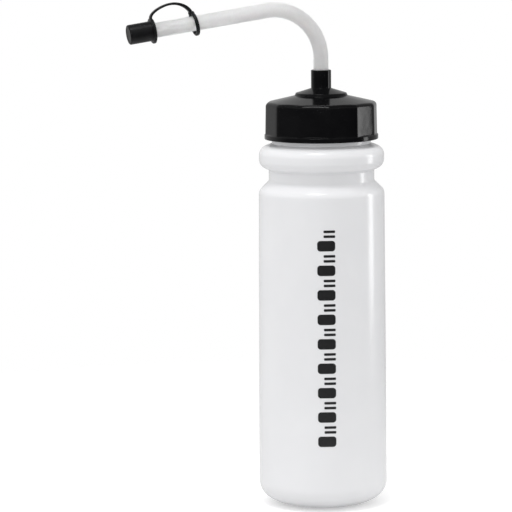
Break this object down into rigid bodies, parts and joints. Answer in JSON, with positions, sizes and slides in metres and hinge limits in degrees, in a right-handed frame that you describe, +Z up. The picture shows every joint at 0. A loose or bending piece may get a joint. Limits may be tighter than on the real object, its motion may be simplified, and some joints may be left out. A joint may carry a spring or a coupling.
{
  "type": "long-straw squeeze bottle",
  "caption": "White one-litre squeeze bottle with a black twelve-sided screw lid, a long bent drinking straw through its collar and a tethered straw cap.",
  "frame": {"origin": "centre of the foot ring, on the surface the bottle stands on", "axes": "+Z up along the bottle; the straw's arm points mostly towards -X and a little towards -Y, the front"},
  "size_m": [0.1528, 0.0781, 0.302],
  "materials": {
    "bottle_plastic": "glossy",
    "lid_plastic": "glossy",
    "gasket_foam": "matt",
    "straw_plastic": "milky, slightly see-through",
    "cap_rubber": "satin"
  },
  "bodies": {
    "bottle": {"bottle_shell": "bottle_plastic"},
    "seal": {"lid_gasket": "gasket_foam"},
    "lid": {"lid_shell": "lid_plastic"},
    "straw": {"straw": "straw_plastic"},
    "cap": {"straw_cap": "cap_rubber", "cap_strap": "cap_rubber"},
    "ring": {"tether_ring": "cap_rubber"}
  },
  "joints": [
    {"name": "lid_lift", "type": "slide", "parent": "bottle", "child": "seal", "axis": [0, 0, 1], "range_m": [0, 0.0075]},
    {"name": "lid_turn", "type": "hinge", "parent": "seal", "child": "lid", "pos_m": [0, 0, 0.24], "axis": [0, 0, 1], "range_deg": [0, 540]},
    {"name": "straw_swivel", "type": "hinge", "parent": "lid", "child": "straw", "pos_m": [0, 0, 0.25], "axis": [0, 0, 1], "continuous": true},
    {"name": "cap_pull", "type": "slide", "parent": "straw", "child": "cap", "axis": [-0.9463, -0.2893, -0.1444], "range_m": [0, 0.018]},
    {"name": "ring_slide", "type": "slide", "parent": "cap", "child": "ring", "axis": [0.9463, 0.2893, 0.1444], "range_m": [-0.008, 0.005], "deforming": ["cap_strap"]}
  ],
  "couplings": [
    {"joint": "lid_turn", "follows": "lid_lift", "rad_per_m": 1256.6}
  ]
}
